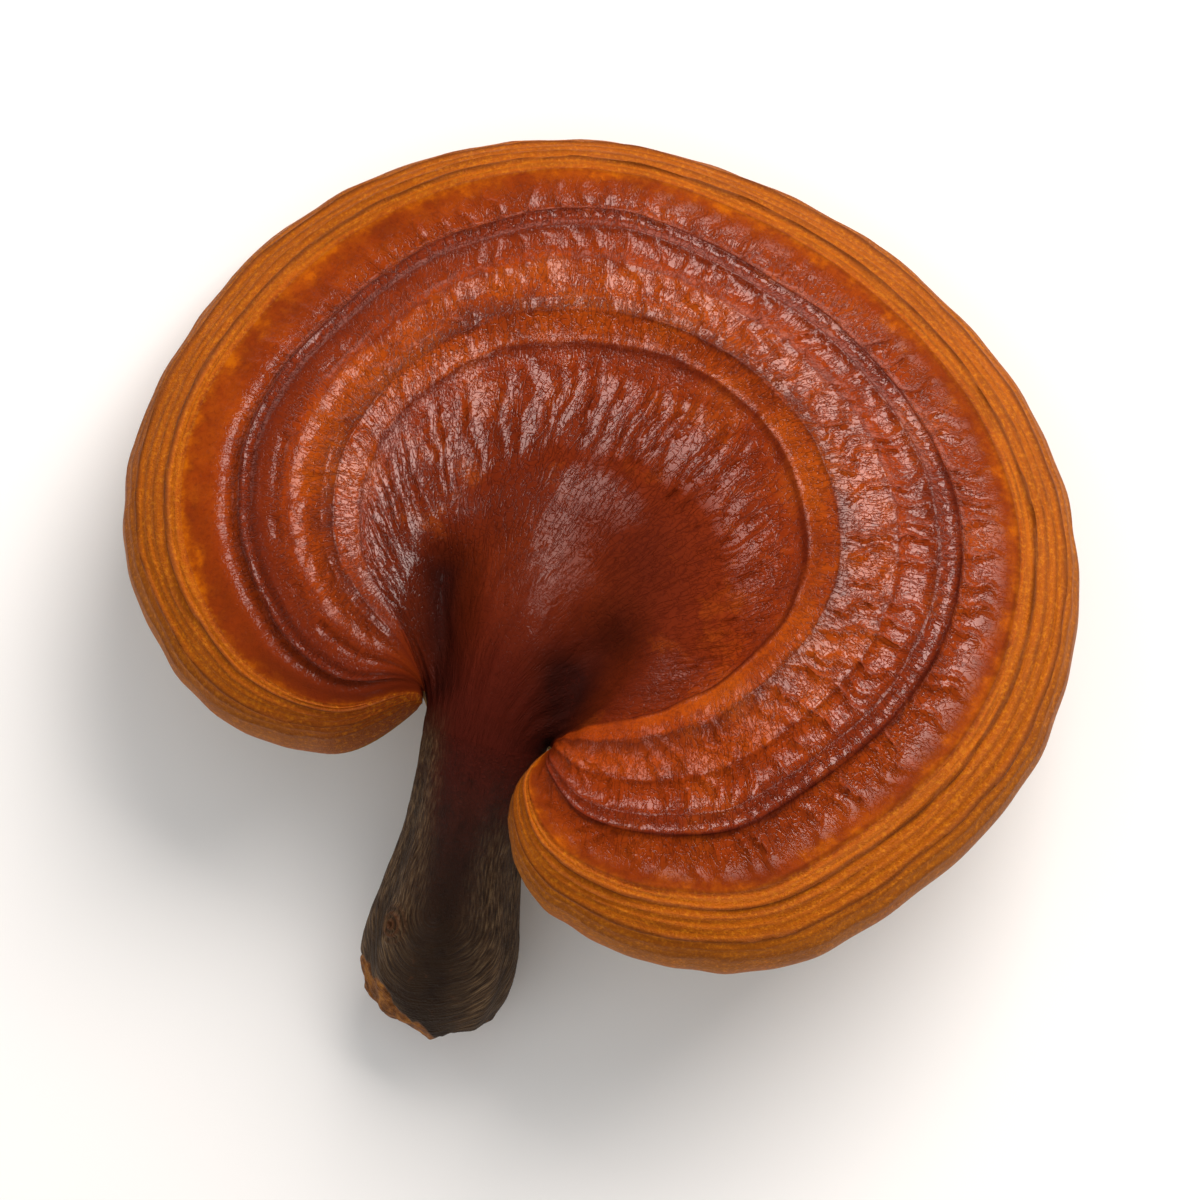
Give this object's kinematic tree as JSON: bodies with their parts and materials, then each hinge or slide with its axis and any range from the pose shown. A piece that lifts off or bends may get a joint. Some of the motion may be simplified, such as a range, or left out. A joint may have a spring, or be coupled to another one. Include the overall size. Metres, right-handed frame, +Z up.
{
  "type": "reishi mushroom",
  "caption": "Dried reishi mushroom: a lacquered kidney-shaped cap with growth rings on a short bark-like stem, lying at rest as a decorative or herbal specimen.",
  "frame": {"origin": "centre of the bounding box on the surface that the mushroom lies on", "axes": "+Z up, +X across the cap, +Y from the stem towards the cap's far margin"},
  "size_m": [0.1514, 0.1466, 0.0525],
  "materials": {
    "cap_crust": "dry lacquered crust, red-brown in the middle with concentric rings, ochre orange at the rim, fine wrinkles under a semi-gloss skin; pale tan pores below",
    "stem_bark": "near-black brown bark-like crust, lengthwise fibres, dull sheen, torn tan end"
  },
  "bodies": {
    "root": {"cap": "cap_crust", "stem": "stem_bark"}
  },
  "joints": []
}
